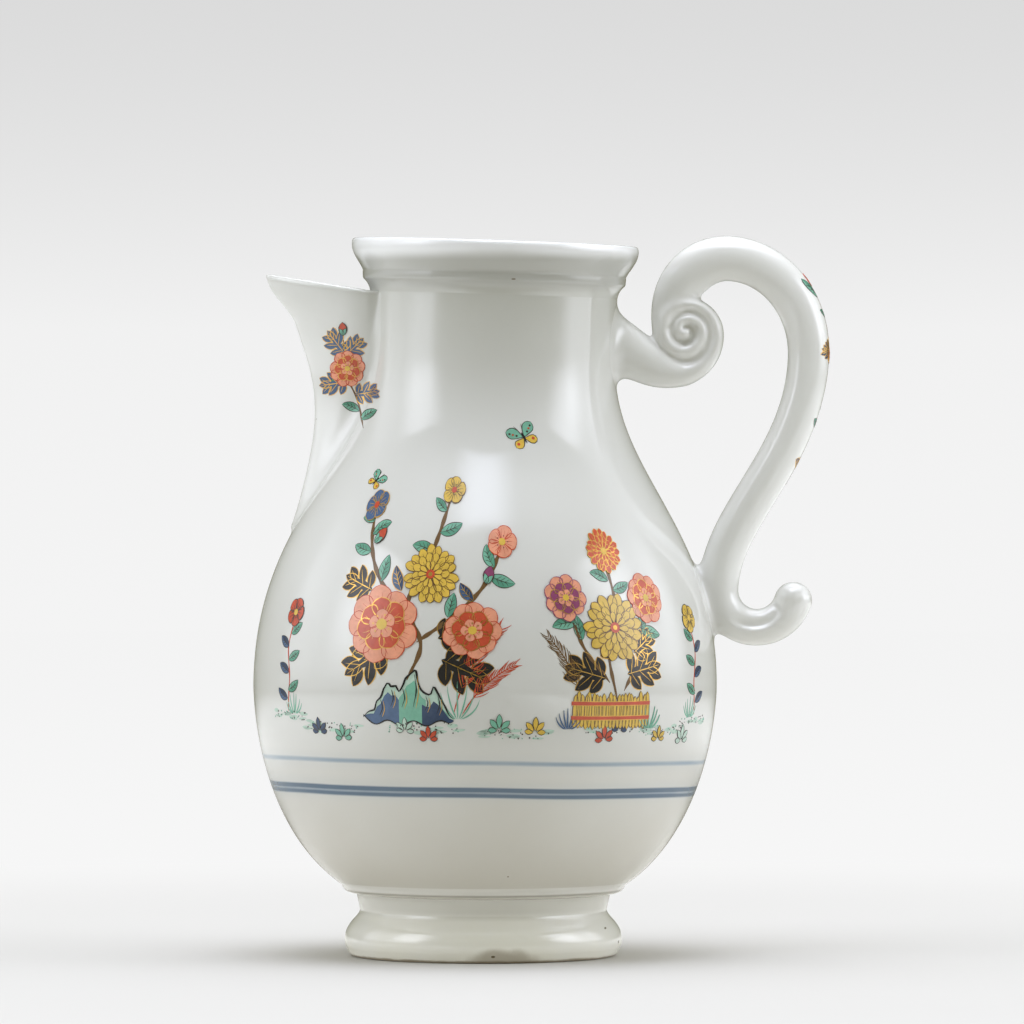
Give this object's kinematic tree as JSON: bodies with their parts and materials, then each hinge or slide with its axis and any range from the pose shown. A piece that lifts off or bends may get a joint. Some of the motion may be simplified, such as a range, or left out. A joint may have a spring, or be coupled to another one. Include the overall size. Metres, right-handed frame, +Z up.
{
  "type": "milk jug",
  "caption": "Porcelain milk jug with a pear-shaped body, moulded lip, pierced neck behind a beak spout, scroll handle and turned foot ring.",
  "frame": {"origin": "on the standing plane, under the middle of the jug's overall length and width", "axes": "+Z up, -X towards the spout, +X towards the handle, looking along +Y shows the painted front"},
  "size_m": [0.1374, 0.1106, 0.1718],
  "materials": {
    "glazed_porcelain": "glossy clear glaze over cool white porcelain, painted with enamels",
    "foot_porcelain": "glossy glaze with a bare, darkened standing edge"
  },
  "bodies": {
    "root": {"body": "glazed_porcelain", "lip_moulding": "glazed_porcelain", "foot_ring": "foot_porcelain", "spout": "glazed_porcelain", "handle_bracket": "glazed_porcelain", "handle_volute": "glazed_porcelain", "handle_loop": "glazed_porcelain", "handle_tail": "glazed_porcelain"}
  },
  "joints": []
}
